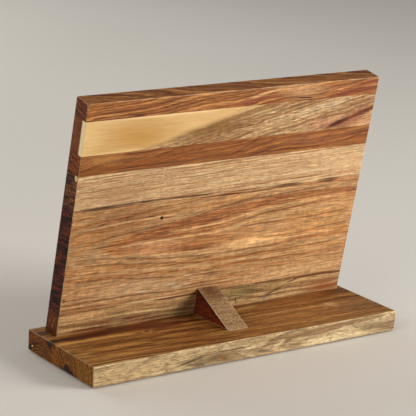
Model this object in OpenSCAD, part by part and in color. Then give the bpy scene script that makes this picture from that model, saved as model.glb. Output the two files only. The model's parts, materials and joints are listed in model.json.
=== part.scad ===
// Wooden tablet stand: a leaning back panel glued up from six staves, on a base glued up from two,
// with a triangular brace behind the panel. Countersunk screws from below hold the panel and brace.
// Origin: middle of the footprint, on the surface that the feet stand on. +X runs along the base,
// +Y points to the brace's side, and -Y to the side that the tablet leans on.

/* [Base] */
// Length of the base
base_length = 305; // [300:1:340]
// Depth of the base, from the tablet's side to the brace's side
base_depth = 99.5; // [99:0.5:120]
// Thickness of the base and of the panel, cut from the same stock
board_t = 17.4; // [15:0.1:20]
// Distance of the base's glue line from the middle, towards the brace
base_glue_y = 4.4; // [4:0.1:12]

/* [Panel] */
// Length of the back panel
panel_length = 288.5; // [270:0.5:295]
// How far the panel was glued off the middle of the base
panel_offset = -1.9; // [-3:0.1:3]
// Lean of the panel from upright
lean = 10.2; // [6:0.1:14]
// Width of the ledge that the tablet stands on, in front of the panel
ledge_w = 8.9; // [6:0.1:11]
// Height of the bottom stave, measured up the back face
bottom_stave_h = 19.5; // [16:0.1:24]
// Height of the wide stave
wide_stave_h = 90.4; // [60:0.1:120]
// Height of the light tan stave
tan_stave_h = 30; // [15:0.1:50]
// Height of the narrow brown stave
brown_stave_h = 17.1; // [10:0.1:40]
// Height of the stave with sapwood
sapwood_stave_h = 28.8; // [15:0.1:50]
// Height of the top stave
top_stave_h = 15; // [10:0.1:40]

/* [Brace] */
// Thickness of the brace along the panel
wedge_w = 20; // [16:0.5:30]
// Height of the brace, measured up the panel
wedge_h = 24.1; // [24:0.1:36]
// Length of the brace along the base
wedge_run = 51.8; // [44:0.1:60]
// Middle of the brace along the base
wedge_x = -1; // [-10:0.1:10]

/* [Screws] */
// Number of screws that hold the panel
panel_screw_count = 3; // [2:1:3]
// Distance between neighbouring panel screws
panel_screw_pitch = 105; // [60:1:110]
// Length of a panel screw
panel_screw_l = 40; // [32:1:45]
// Length of the brace's screw
wedge_screw_l = 30; // [25:1:30]
// Diameter of the screws over their threads
screw_d = 4; // [3.5:0.1:4.5]

/* [Feet] */
// Diameter of a rubber foot
foot_d = 10; // [8:0.5:14]
// Height of a rubber foot
foot_h = 1.2; // [1:0.1:3]
// Distance of a foot's middle from the base's long and short edges
foot_inset = 13; // [9:0.5:20]

/* [Finish] */
// Width of the eased edges of the boards
ease = 0.8; // [0.4:0.1:1.5]

/* [Hidden] */
$fn = 64;
slack = 1;                 // how far a cutting solid runs past what it cuts
screw_gap = 0.02;          // between a thread's crest and the wood around it
hole_gap = 0.25;           // between a screw and its clearance hole in the base
head_sink = 0.4;           // a head's depth below the underside of the base
wedge_screw_back = 15.17;  // distance of the brace's screw from the panel
root_drop = 0.6;           // depth of the thread
thread_pitch = 2;
plain_shank = 0.4;         // part of a screw's length that has no thread
tip_l = 4;
head_rim = 0.3;
recess_depth = 1.6;
recess_slot = 0.9;
recess_share = 0.58;       // length of a recess's arms against the head's diameter
foot_round = 0.5;

base_top = foot_h + board_t;
panel_height = bottom_stave_h + wide_stave_h + tan_stave_h + brown_stave_h + sapwood_stave_h + top_stave_h;
panel_rear_y = -base_depth / 2 + ledge_w + board_t / cos(lean);
bevel_drop = board_t * tan(lean);
head_d = 2 * screw_d;
head_cone_h = (head_d - screw_d) / 2;
head_z = foot_h + head_sink;
panel_bite = head_z + panel_screw_l - base_top;
panel_middle_y = panel_rear_y - board_t / cos(lean) / 2;
panel_screw_y = panel_middle_y + tan(lean) * panel_bite / 2;
wedge_screw_y = panel_rear_y + wedge_screw_back;
foot_x = base_length / 2 - foot_inset;
foot_y = base_depth / 2 - foot_inset;

wide_stave_z = bottom_stave_h;
tan_stave_z = wide_stave_z + wide_stave_h;
brown_stave_z = tan_stave_z + tan_stave_h;
sapwood_stave_z = brown_stave_z + brown_stave_h;
top_stave_z = sapwood_stave_z + sapwood_stave_h;

// A rectangle with its corners cut by the eased edge
module eased_rectangle(w, h) {
    polygon([
        [ease, 0], [w - ease, 0], [w, ease], [w, h - ease],
        [w - ease, h], [ease, h], [0, h - ease], [0, ease]
    ]);
}

// A board with every edge eased, from the origin into the positive octant
module eased_board(l, d, h) {
    intersection() {
        linear_extrude(h) eased_rectangle(l, d);
        translate([0, d, 0]) rotate([90, 0, 0]) linear_extrude(d) eased_rectangle(l, h);
        rotate([90, 0, 90]) linear_extrude(l) eased_rectangle(d, h);
    }
}

module base_board() {
    translate([-base_length / 2, -base_depth / 2, foot_h]) eased_board(base_length, base_depth, board_t);
}

// Places its children in the panel's frame: X along the panel, Y = 0 on its back face, Z up the slope
module panel_frame() {
    translate([panel_offset, panel_rear_y, base_top]) rotate([-lean, 0, 0]) children();
}

// The panel before it is cut into staves, run down past the base so that the cut there stays sharp
module panel_board() {
    below = bevel_drop + 2 * ease;
    panel_frame() translate([-panel_length / 2, -board_t, -below])
        eased_board(panel_length, board_t, panel_height + below);
}

// One stave of the panel, between two heights up the slope
module panel_stave(z, h) {
    intersection() {
        panel_board();
        panel_frame() translate([-panel_length / 2, -board_t, z]) cube([panel_length, board_t, h]);
    }
}

// Places its children at each panel screw's head
module at_panel_screws() {
    first_x = panel_offset - (panel_screw_count - 1) / 2 * panel_screw_pitch;
    for (i = [0 : panel_screw_count - 1])
        translate([first_x + i * panel_screw_pitch, panel_screw_y, head_z]) children();
}

// Places its children at the brace screw's head
module at_wedge_screw() {
    translate([wedge_x, wedge_screw_y, head_z]) children();
}

// A pilot hole as deep as the screw, in the wood that its thread bites
module pilot(l) {
    cylinder(r = screw_d / 2 + screw_gap, h = l + screw_gap);
}

// A countersunk clearance hole through the base
module countersunk_hole() {
    hole_r = screw_d / 2 + hole_gap;
    sink_r = head_d / 2 + hole_gap;
    translate([0, 0, -head_sink - slack]) cylinder(r = hole_r, h = board_t + 2 * slack);
    translate([0, 0, -head_sink - slack]) cylinder(r = sink_r, h = head_sink + slack + head_rim);
    translate([0, 0, head_rim]) cylinder(r1 = sink_r, r2 = hole_r, h = sink_r - hole_r);
}

// Cross recess in a screw's head
module cross_recess() {
    arm = head_d * recess_share;
    translate([0, 0, -slack]) linear_extrude(recess_depth + slack) {
        square([arm, recess_slot], center = true);
        square([recess_slot, arm], center = true);
    }
}

// A countersunk wood screw, head down at the origin and its tip up
module wood_screw(l) {
    r = screw_d / 2;
    root = r - root_drop;
    thread_z = l * plain_shank;
    turns = floor((l - tip_l - thread_z) / thread_pitch);
    thread = [
        for (i = [0 : turns - 1])
            each [[r, thread_z + i * thread_pitch], [root, thread_z + (i + 0.5) * thread_pitch]]
    ];
    difference() {
        rotate_extrude() polygon(concat(
            [[0, 0], [head_d / 2, 0], [head_d / 2, head_rim], [r, head_rim + head_cone_h]],
            thread,
            [[r, thread_z + turns * thread_pitch], [0, l]]
        ));
        cross_recess();
    }
}

module base_stave_front() {
    color("#8a5a32") difference() {
        intersection() {
            base_board();
            translate([-base_length / 2, -base_depth / 2, foot_h])
                cube([base_length, base_depth / 2 + base_glue_y, board_t]);
        }
        at_panel_screws() countersunk_hole();
        at_wedge_screw() countersunk_hole();
    }
}

module base_stave_rear() {
    color("#b98d5c") intersection() {
        base_board();
        translate([-base_length / 2, base_glue_y, foot_h])
            cube([base_length, base_depth / 2 - base_glue_y, board_t]);
    }
}

// The lowest stave is cut level, so that the leaning panel sits flat on the base
module panel_stave_bottom() {
    color("#b5804f") difference() {
        intersection() {
            panel_stave(-bevel_drop, bottom_stave_h + bevel_drop);
            translate([-base_length / 2, -base_depth / 2, base_top])
                cube([base_length, base_depth, 2 * bottom_stave_h]);
        }
        at_panel_screws() pilot(panel_screw_l);
    }
}

module panel_stave_wide() {
    color("#b27a45") difference() {
        panel_stave(wide_stave_z, wide_stave_h);
        at_panel_screws() pilot(panel_screw_l);
    }
}

module panel_stave_tan() {
    color("#c39a72") panel_stave(tan_stave_z, tan_stave_h);
}

module panel_stave_brown() {
    color("#94582f") panel_stave(brown_stave_z, brown_stave_h);
}

module panel_stave_sapwood() {
    color("#d9b679") panel_stave(sapwood_stave_z, sapwood_stave_h);
}

module panel_stave_top() {
    color("#84462a") panel_stave(top_stave_z, top_stave_h);
}

// A triangle on the base and against the panel's back, with a straight sloping top
module wedge_brace() {
    peak = [panel_rear_y + wedge_h * sin(lean), base_top + wedge_h * cos(lean)];
    color("#7d4a2c") difference() {
        translate([wedge_x - wedge_w / 2, 0, 0]) rotate([90, 0, 90]) linear_extrude(wedge_w)
            polygon([[panel_rear_y, base_top], [panel_rear_y + wedge_run, base_top], peak]);
        at_wedge_screw() pilot(wedge_screw_l);
    }
}

module panel_screws() {
    color("#b8aa84") at_panel_screws() wood_screw(panel_screw_l);
}

module wedge_screw() {
    color("#b8aa84") at_wedge_screw() wood_screw(wedge_screw_l);
}

// A flat round rubber pad, at the corner that the two signs point to
module foot(side_x, side_y) {
    r = foot_d / 2;
    color("#2b2826") translate([side_x * foot_x, side_y * foot_y, 0]) rotate_extrude()
        polygon([[0, 0], [r - foot_round, 0], [r, foot_round], [r, foot_h], [0, foot_h]]);
}

module foot_front_left() { foot(-1, -1); }
module foot_front_right() { foot(1, -1); }
module foot_rear_left() { foot(-1, 1); }
module foot_rear_right() { foot(1, 1); }

base_stave_front();
base_stave_rear();
panel_stave_bottom();
panel_stave_wide();
panel_stave_tan();
panel_stave_brown();
panel_stave_sapwood();
panel_stave_top();
wedge_brace();
panel_screws();
wedge_screw();
foot_front_left();
foot_front_right();
foot_rear_left();
foot_rear_right();
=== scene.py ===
"""Looks of the wooden tablet stand: boards with small faults, solid procedural wood, screws and rubber feet.

Lengths are in millimetres until a mesh, a lamp or the camera is made. X runs along the grain. In the panel's
own frame Y is 0 on its back face and negative towards the front, and Z runs up the slope from the base.
"""

import json
import math

import bpy
import bmesh
import numpy as np
from mathutils import Matrix, Vector


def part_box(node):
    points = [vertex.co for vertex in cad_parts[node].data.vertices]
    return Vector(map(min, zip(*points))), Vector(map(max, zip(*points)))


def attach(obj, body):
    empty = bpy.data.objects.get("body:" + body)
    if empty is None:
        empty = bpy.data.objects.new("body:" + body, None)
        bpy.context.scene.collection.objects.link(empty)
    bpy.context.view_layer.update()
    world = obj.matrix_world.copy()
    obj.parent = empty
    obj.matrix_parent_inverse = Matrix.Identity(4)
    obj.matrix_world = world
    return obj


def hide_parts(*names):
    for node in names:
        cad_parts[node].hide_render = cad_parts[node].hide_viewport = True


MM = 0.001
SOFT_BELOW = math.radians(35)  # edges that bend by less are shaded smooth

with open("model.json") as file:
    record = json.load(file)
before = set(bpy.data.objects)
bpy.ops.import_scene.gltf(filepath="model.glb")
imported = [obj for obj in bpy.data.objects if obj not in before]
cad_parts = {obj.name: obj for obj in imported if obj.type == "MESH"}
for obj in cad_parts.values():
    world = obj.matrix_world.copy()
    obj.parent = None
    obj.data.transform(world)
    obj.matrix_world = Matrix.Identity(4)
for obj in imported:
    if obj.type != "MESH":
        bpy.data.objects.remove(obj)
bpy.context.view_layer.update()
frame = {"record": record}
mount_axes = {m["name"]: m["axis"] for m in frame["record"]["mounts"]}


def cad_box(*nodes):
    """The lowest and highest corners of some CAD nodes together, in millimetres."""
    corners = np.array([[list(c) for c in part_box(n)] for n in nodes]) / MM
    return corners[:, 0].min(0), corners[:, 1].max(0)


# ---------------------------------------------------------------- places, all from the CAD frame

_, rest_y, rest_z = mount_axes["tablet_back_rest"]
LEAN = math.atan2(rest_z, -rest_y)
BASE_LOW, BASE_HIGH = cad_box("base_stave_front", "base_stave_rear")
BASE_TOP = BASE_HIGH[2]
GLUE_Y = cad_box("base_stave_front")[1][1]
BASE_EASE = 1.1
PANEL_EASE = 0.9
BRACE_EASE = 0.9
PANEL_NODES = [
    "panel_stave_bottom", "panel_stave_wide", "panel_stave_tan",
    "panel_stave_brown", "panel_stave_sapwood", "panel_stave_top",
]


def leaning_size(node):
    """(width up the slope, thickness) of a stave in the panel, from its upright box."""
    low, high = cad_box(node)
    _, across, up = high - low
    spread = math.cos(LEAN) ** 2 - math.sin(LEAN) ** 2
    width = (up * math.cos(LEAN) - across * math.sin(LEAN)) / spread
    thick = (across * math.cos(LEAN) - up * math.sin(LEAN)) / spread
    return width, thick


def slope_start(node):
    """How far up the slope a stave of the panel begins."""
    return (cad_box(node)[0][2] - BASE_TOP) / math.cos(LEAN)


BOARD_T = leaning_size("panel_stave_tan")[1]
# The end staves' boxes are cut by the bevel and the eased edges, so their sizes come from their neighbours.
STAVE_Z = [0.0] + [slope_start(n) for n in PANEL_NODES[1:]]
PANEL_H = (cad_box(PANEL_NODES[-1])[1][2] - BASE_TOP - BOARD_T * math.sin(LEAN)) / math.cos(LEAN)
STAVE_Z.append(PANEL_H)
PANEL_X = [v[0] for v in cad_box("panel_stave_tan")]
PANEL_BACK_Y = cad_box("panel_stave_tan")[1][1] - STAVE_Z[3] * math.sin(LEAN)
PANEL_TO_WORLD = Matrix.Translation((0, PANEL_BACK_Y, BASE_TOP)) @ Matrix.Rotation(-LEAN, 4, "X")
BASE_TO_WORLD = Matrix.Identity(4)


# ---------------------------------------------------------------- meshes


def add_object(name, data):
    """A new object in the scene."""
    obj = bpy.data.objects.new(name, data)
    bpy.context.scene.collection.objects.link(obj)
    return obj


def smooth(mesh):
    """Shades a mesh smooth over its soft edges."""
    mesh.shade_smooth()
    mesh.set_sharp_from_angle(angle=SOFT_BELOW)


def solid(name, shape):
    """An object from a bmesh in metres."""
    mesh = bpy.data.meshes.new(name)
    shape.to_mesh(mesh)
    shape.free()
    return add_object(name, mesh)


def mesh_object(name, points, faces):
    """A smooth mesh object from points in millimetres in the row frame, with its normals out."""
    mesh = bpy.data.meshes.new(name)
    mesh.from_pydata([tuple(p) for p in np.asarray(points) * MM], [], faces)
    shape = bmesh.new()
    shape.from_mesh(mesh)
    bmesh.ops.recalc_face_normals(shape, faces=shape.faces)
    shape.to_mesh(mesh)
    shape.free()
    smooth(mesh)
    return add_object(name, mesh)


def side_lines(low, high, step, ease, eased, close):
    """Where the mesh lines cross one side of a board: even steps, arcs at eased edges, and more at faults.

    close holds (middle, half width, step) of each stretch that needs finer lines."""
    lines = [low, high]
    arc = [ease * (1 - math.tan(math.radians(a))) for a in (30, 15, 0)] + [1.6 * ease]
    lines += [low + a for a in arc] if eased[0] else []
    lines += [high - a for a in arc] if eased[1] else []
    inner = [low + (2 * ease if eased[0] else 0), high - (2 * ease if eased[1] else 0)]
    count = max(1, round((inner[1] - inner[0]) / step))
    lines += list(np.linspace(inner[0], inner[1], count + 1))
    for middle, half, fine in close:
        lines += list(np.arange(middle - half, middle + half + fine / 2, fine))
    kept = []
    for line in sorted(x for x in lines if low <= x <= high):
        if not kept or line - kept[-1] > 0.02:
            kept.append(line)
    kept[-1] = high
    return np.array(kept)


def block(xs, ys, zs):
    """Points and outward quads of a closed box surface with these mesh lines."""
    lines, last = (xs, ys, zs), (len(xs) - 1, len(ys) - 1, len(zs) - 1)
    index, points, faces = {}, [], []

    def corner(*ijk):
        if ijk not in index:
            index[ijk] = len(points)
            points.append([lines[a][ijk[a]] for a in range(3)])
        return index[ijk]

    for axis in range(3):
        a, b = (axis + 1) % 3, (axis + 2) % 3
        for side in (0, last[axis]):
            for i in range(last[a]):
                for j in range(last[b]):
                    quad = []
                    for da, db in ((0, 0), (1, 0), (1, 1), (0, 1)):
                        ijk = [0, 0, 0]
                        ijk[axis], ijk[a], ijk[b] = side, i + da, j + db
                        quad.append(corner(*ijk))
                    faces.append(quad if side else quad[::-1])
    return np.array(points), faces


def round_edges(points, low, high, ease, eased):
    """Turns a box's square edges into arcs of radius ease where eased[axis] = (low, high) says so."""
    inner_low = [low[a] + ease if eased[a][0] else -np.inf for a in range(3)]
    inner_high = [high[a] - ease if eased[a][1] else np.inf for a in range(3)]
    core = np.clip(points, inner_low, inner_high)
    out = points - core
    length = np.linalg.norm(out, axis=1, keepdims=True)
    longest = np.abs(out).max(axis=1, keepdims=True)
    return core + out * np.divide(longest, length, out=np.zeros_like(length), where=length > 0)


def smooth_bump(t):
    """1 at t = 0 falling smoothly to 0 at t = 1 and beyond."""
    t = np.clip(t, 0, 1)
    return 1 - t * t * (3 - 2 * t)


def dent(points, at, radii, depth, into, angle=0.0, plane=(0, 2)):
    """Pushes points near a place of the surface along into, as a hollow with these half sizes in its plane."""
    a, b = plane
    da, db = points[:, a] - at[a], points[:, b] - at[b]
    turn = math.radians(angle)
    along = da * math.cos(turn) + db * math.sin(turn)
    across = db * math.cos(turn) - da * math.sin(turn)
    reach = np.hypot(along / radii[0], across / radii[1])
    normal = ({0, 1, 2} - set(plane)).pop()
    near = np.abs(points[:, normal] - at[normal]) < 0.3
    push = np.where(near, smooth_bump(reach), 0) * depth
    return points + push[:, None] * np.array(into, float)


def chip(points, at, way, depth, reach):
    """Cuts a small flat chip off an edge or a corner, square to the way that points out of the wood."""
    way = np.array(way, float) / np.linalg.norm(way)
    off = points - np.array(at)
    over = off @ way + depth * smooth_bump(np.linalg.norm(off, axis=1) / reach)
    return points - np.clip(over, 0, None)[:, None] * way


def place(points, to_world):
    """Board coordinates to the row frame."""
    turn = np.array(to_world.to_3x3())
    return np.asarray(points) @ turn.T + np.array(to_world.translation)


def cylinder(name, x, y, z0, z1, r0, r1, sides):
    """A plain cone frustum, to cut a screw's hole."""
    shape = bmesh.new()
    middle = Matrix.Translation(Vector((x, y, (z0 + z1) / 2)) * MM)
    size = {"radius1": r0 * MM, "radius2": r1 * MM, "depth": (z1 - z0) * MM}
    bmesh.ops.create_cone(shape, cap_ends=True, segments=sides, matrix=middle, **size)
    return solid(name, shape)


def bar(name, middle, half, angle):
    """A plain bar on the XY plane, to cut a recess."""
    shape = bmesh.new()
    size = Matrix.Diagonal(Vector(half) * 2 * MM).to_4x4()
    turn = Matrix.Rotation(math.radians(angle), 4, "Z")
    bmesh.ops.create_cube(shape, matrix=Matrix.Translation(Vector(middle) * MM) @ turn @ size)
    return solid(name, shape)


def cut(obj, cutters):
    """Cuts the cutters out of a mesh, applies the cuts and removes the cutters."""
    for cutter in cutters:
        step = obj.modifiers.new("cut", "BOOLEAN")
        step.operation, step.object, step.solver = "DIFFERENCE", cutter, "EXACT"
    bpy.context.view_layer.update()
    done = bpy.data.meshes.new_from_object(obj.evaluated_get(bpy.context.evaluated_depsgraph_get()))
    obj.modifiers.clear()
    obj.data = done
    for cutter in cutters:
        bpy.data.objects.remove(cutter)
    smooth(obj.data)


def finish_piece(obj, node, material):
    """Gives a piece its material, keeps its wide faces flat in shading, and makes it stand for its CAD node."""
    obj.data.materials.clear()
    obj.data.materials.append(material)
    step = obj.modifiers.new("even shading", "WEIGHTED_NORMAL")
    step.weight, step.keep_sharp = 100, True
    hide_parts(node)
    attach(obj, "root")
    return obj


# ---------------------------------------------------------------- material building blocks


def rgb(code):
    """A linear colour from a given sRGB hex code."""
    parts = [int(code[i : i + 2], 16) / 255 for i in (1, 3, 5)]
    return tuple(((p + 0.055) / 1.055) ** 2.4 if p > 0.04045 else p / 12.92 for p in parts) + (1.0,)


class Graph:
    """A material's node tree, with one short call per node. A socket or a plain value can go into any input."""

    def __init__(self, name):
        self.material = bpy.data.materials.new(name)
        self.material.use_nodes = True
        self.tree = self.material.node_tree
        self.tree.nodes.clear()

    def add(self, kind, inputs=(), **settings):
        node = self.tree.nodes.new("ShaderNode" + kind)
        for key, value in settings.items():
            setattr(node, key, value)
        for key, value in dict(inputs).items():
            self.put(node.inputs[key], value)
        return node

    def put(self, socket, value):
        if isinstance(value, bpy.types.NodeSocket):
            self.tree.links.new(value, socket)
        else:
            socket.default_value = value

    def math(self, operation, a, b=0.0, clamp=False):
        return self.add("Math", {0: a, 1: b}, operation=operation, use_clamp=clamp).outputs[0]

    def plus(self, a, b):
        return self.math("ADD", a, b)

    def minus(self, a, b):
        return self.math("SUBTRACT", a, b)

    def times(self, a, b):
        return self.math("MULTIPLY", a, b)

    def object_mm(self):
        """The place inside the object, in millimetres."""
        return self.vector("MULTIPLY", self.add("TexCoord").outputs["Object"], (1 / MM, 1 / MM, 1 / MM))

    def vector(self, operation, a, b=(0, 0, 0), output=0):
        return self.add("VectorMath", {0: a, 1: b}, operation=operation).outputs[output]

    def parts(self, vector):
        return self.add("SeparateXYZ", {0: vector}).outputs

    def remap(self, value, low, high, to_low=0.0, to_high=1.0, kind="SMOOTHSTEP"):
        ends = {"From Min": low, "From Max": high, "To Min": to_low, "To Max": to_high}
        return self.add("MapRange", {"Value": value, **ends}, interpolation_type=kind).outputs[0]

    def noise(self, at, scale, detail, rough=0.5, colour=False):
        node = self.add("TexNoise", {"Vector": at, "Scale": scale, "Detail": detail, "Roughness": rough})
        return node.outputs["Color" if colour else 0]

    def noise_line(self, at, scale, detail, rough):
        """Noise along one number, for the uneven bands of growth rings."""
        inputs = {"W": at, "Scale": scale, "Detail": detail, "Roughness": rough}
        return self.add("TexNoise", inputs, noise_dimensions="1D").outputs[0]

    def mix(self, share, a, b, blend="MIX"):
        node = self.add("Mix", data_type="RGBA", blend_type=blend)
        for socket, value in zip((node.inputs[0], node.inputs[6], node.inputs[7]), (share, a, b)):
            self.put(socket, value)
        return node.outputs[2]

    def ramp(self, value, *stops):
        node = self.add("ValToRGB", {"Fac": value})
        points = node.color_ramp.elements
        while len(points) < len(stops):
            points.new(0.5)
        for point, (at, colour) in zip(points, stops):
            point.position, point.color = at, colour
        return node.outputs[0]

    def surface(self, colour, roughness, bump, bump_mm, **constants):
        shader = self.add("BsdfPrincipled", {"Base Color": colour, "Roughness": roughness})
        for key, value in constants.items():
            shader.inputs[key.replace("_", " ")].default_value = value
        relief = self.add("Bump", {"Height": bump, "Distance": bump_mm * MM, "Strength": 1.0})
        self.put(shader.inputs["Normal"], relief.outputs[0])
        self.add("OutputMaterial", {"Surface": shader.outputs[0]}).is_active_output = True
        return self.material


RAGGED = (0.34, 0.5)  # where a noise along the fibres begins to show a mark, and shows all of it


class Wood(Graph):
    """Solid wood: growth rings round a pith line, fibres and pores along X, the same inside and out."""

    def __init__(self, name, to_world, seed):
        super().__init__(name)
        inside = self.add("Mapping", {"Vector": self.add("TexCoord").outputs["Object"]}, vector_type="TEXTURE")
        self.put(inside.inputs["Location"], to_world.translation * MM)
        self.put(inside.inputs["Rotation"], to_world.to_euler())
        self.put(inside.inputs["Scale"], (MM, MM, MM))
        self.at = inside.outputs[0]
        self.lean = to_world.to_euler()[0]
        self.seeded = self.vector("ADD", self.at, (seed * 311.0, seed * 97.0, seed * 53.0))
        self.ragged = self.grain(26, 1.5, 13.0, 3, 0.65)
        self.hollow = 0.0

    def stretched(self, along, across, shift):
        """The board's coordinates shrunk to features of these lengths along and across the grain."""
        moved = self.vector("ADD", self.seeded, (shift, shift, shift))
        return self.vector("MULTIPLY", moved, (1 / along, 1 / across, 1 / across))

    def grain(self, along, across, shift, detail, rough=0.5, colour=False):
        """A noise that is drawn out along the grain."""
        return self.noise(self.stretched(along, across, shift), 1.0, detail, rough, colour)

    def turned(self, vector, angle):
        """A vector turned about X."""
        return self.add("VectorRotate", {"Vector": vector, "Angle": angle}, rotation_type="X_AXIS").outputs[0]

    def within(self, middle, half):
        """How far a place is from a middle, as a share of these half sizes."""
        off = self.vector("MULTIPLY", self.vector("SUBTRACT", self.at, middle), [1 / h for h in half])
        return self.vector("LENGTH", off, output=1)

    def rings(self, pith, tilt, bends, sway=(0, 60, 0), level=-999, core=0):
        """Sets how far each place is from the pith line, which runs through pith = (y, z) at x = 0 and tilts by
        tilt = (y, z) per X.

        bends are the rings' wanderings, each as (length, width, amount). sway is a slow S-bend of the fibres
        in Z, as (amount, length, start). Where X is below level, the pith line runs parallel to X. Nearer than
        core to the pith, the rings are wider."""
        bent = self.at
        for number, (along, across, amount) in enumerate(bends):
            cloud = self.grain(along, across, 17.0 * number, 2, colour=True)
            centred = self.vector("SUBTRACT", cloud, (0.5, 0.5, 0.5))
            bent = self.vector("ADD", bent, self.vector("MULTIPLY", centred, (0, 4 * amount, 4 * amount)))
        x, y, z = self.parts(bent)
        if sway[0]:
            turn = self.times(self.minus(x, sway[2]), 2 * math.pi / sway[1])
            z = self.minus(z, self.times(self.math("SINE", turn), sway[0]))
            bent = self.add("CombineXYZ", {0: x, 1: y, 2: z}).outputs[0]
        self.bent, self.bent_x, self.bent_y, self.bent_z = bent, x, y, z
        squares = []
        along = self.math("MAXIMUM", x, level)
        for part, start, slope in ((y, pith[0], tilt[0]), (z, pith[1], tilt[1])):
            off = self.minus(part, self.plus(self.times(along, slope), start))
            squares.append(self.times(off, off))
        reach = self.minus(self.math("SQRT", self.plus(*squares)), core)
        inner = self.times(self.math("MINIMUM", reach, 0), 0.22)
        self.pith_mm = self.plus(self.math("MAXIMUM", reach, 0), inner)

    def bands(self, band_mm, contrast, streaks, *colours):
        """Colours the rings from dark to light, in uneven bands about band_mm wide that break up in streaks."""
        broad = self.noise_line(self.pith_mm, 1 / band_mm, detail=4, rough=0.6)
        fine = self.grain(38, 0.85, 5.0, 3.5, 0.65)
        mixed = self.plus(broad, self.times(self.minus(fine, 0.5), streaks))
        spread = self.times(self.minus(mixed, 0.5), 2.3 * contrast)
        places = np.linspace(0, 1, len(colours))
        self.colour = self.ramp(self.math("ADD", spread, 0.5, clamp=True), *zip(places, map(rgb, colours)))

    def shade(self, value, low, high, amount):
        """Darkens and lightens by up to amount where a noise runs from low to high."""
        grey = self.remap(value, low, high, 1 - amount, 1 + amount, "LINEAR")
        grey = self.add("CombineXYZ", {0: grey, 1: grey, 2: grey}).outputs[0]
        self.colour = self.mix(1.0, self.colour, grey, "MULTIPLY")

    def hairlines(self, amount, spacing):
        """Thin darker lines where a season's growth ends."""
        line = self.noise_line(self.pith_mm, 1 / spacing, detail=2, rough=0.7)
        self.shade(line, 0.62, 0.42, amount)

    def fibres(self, amount, along=17, across=1.3):
        """Light and dark streaks along the fibres, coarse and fine."""
        self.shade(self.grain(along, across, 23.0, 3, 0.65), 0.3, 0.7, amount)
        self.shade(self.grain(along / 2, across / 2, 29.0, 2, 0.6), 0.3, 0.7, amount * 0.6)

    def speckle(self, dark, strength, along=4.5, across=0.7, cover=0.57):
        """The fine dark dashes of open pores, among paler tissue."""
        dashes = self.grain(along, across, 71.0, 2.5, 0.65)
        self.pores = self.remap(dashes, cover, cover + 0.12)
        self.shade(dashes, 0.55, 0.3, 0.08 * strength)
        self.colour = self.mix(self.times(self.pores, strength), self.colour, rgb(dark))

    def curl(self, amount, along=5, across=14):
        """Light and dark bars across the grain, where its fibres wave."""
        self.shade(self.grain(along, across, 43.0, 2, 0.6), 0.35, 0.65, amount)

    def tint(self, share, colour):
        self.colour = self.mix(share, self.colour, rgb(colour))

    def mark(self, start, end, half, colour, strength=0.8, past=6.0, soft=0.7, ragged=True, straight=False):
        """A coloured mark from start to end, with half = its half sizes along Y and Z, and past = its reach
        beyond both ends. It follows the bends of the grain unless it is straight, and breaks up along the
        fibres if ragged."""
        start, end = Vector(start), Vector(end)
        length = (end - start).length
        turn = (end - start).to_track_quat("X", "Z").to_euler() if length > 0 else Vector((0, 0, 0))
        inside = self.add("Mapping", {"Vector": self.at if straight else self.bent}, vector_type="TEXTURE")
        self.put(inside.inputs["Location"], (start + end) / 2)
        self.put(inside.inputs["Rotation"], turn)
        self.put(inside.inputs["Scale"], (length / 2 + past, *half))
        reach = self.vector("LENGTH", inside.outputs[0], output=1)
        share = self.remap(reach, 1.0, 1.0 - soft, 0, min(1.0, 1.25 * strength))
        if ragged:
            share = self.times(share, self.remap(self.ragged, *RAGGED, 0.4, 1.0))
        elif straight:
            self.hollow = self.math("MAXIMUM", self.hollow, share)
        self.tint(share, colour)

    def marks(self, at, rows, **common):
        """A row of marks, each from at(a, b) to at(c, d), with its half sizes and then mark's own values."""
        for a, b, c, d, half_y, half_z, *look in rows:
            self.mark(at(a, b), at(c, d), (half_y, half_z), *look, **common)

    def line(self, places, half, colour, strength=0.7, ragged=True, side=2):
        """A thin coloured line that curves through these (x, z) places and fades at both ends. With side = 1,
        the places are (x, y) on the base's top."""
        xs, heights = zip(*sorted(places))
        low, high = min(heights) - 1, max(heights) + 1
        along = self.remap(self.bent_x, xs[0], xs[-1], kind="LINEAR")
        curve = self.add("FloatCurve", {"Value": along})
        points = curve.mapping.curves[0].points
        while len(points) < len(xs):
            points.new(0.5, 0.5)
        for point, x, height in zip(points, xs, heights):
            point.location = ((x - xs[0]) / (xs[-1] - xs[0]), (height - low) / (high - low))
        curve.mapping.update()
        middle = self.remap(curve.outputs[0], 0, 1, low, high, "LINEAR")
        off = self.math("ABSOLUTE", self.minus((self.bent_x, self.bent_y, self.bent_z)[side], middle))
        ends = self.math("ABSOLUTE", self.minus(along, 0.5))
        share = self.times(self.remap(off, half, half * 0.25), self.remap(ends, 0.5, 0.36, 0, strength))
        if ragged:
            share = self.times(share, self.remap(self.ragged, *RAGGED, 0.45, 1.0))
        if side == 1:
            top = self.remap(self.parts(self.at)[2], BASE_TOP - 6, BASE_TOP - 3)
            share = self.times(share, top)
        self.tint(share, colour)

    def lines(self, rows, **common):
        """Several lines, each with line's own values."""
        for row in rows:
            self.line(*row, **common)

    def zone(self, middle, half, colour, strength):
        """A large soft patch of another colour."""
        self.mark(middle, middle, half[1:], colour, strength, soft=1.0, ragged=False, past=half[0])

    def zones(self, at, rows):
        """Several zones, each round at(a, b), with its half sizes, colour and strength."""
        for a, b, *half, colour, strength in rows:
            self.zone(at(a, b), half, colour, strength)

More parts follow.
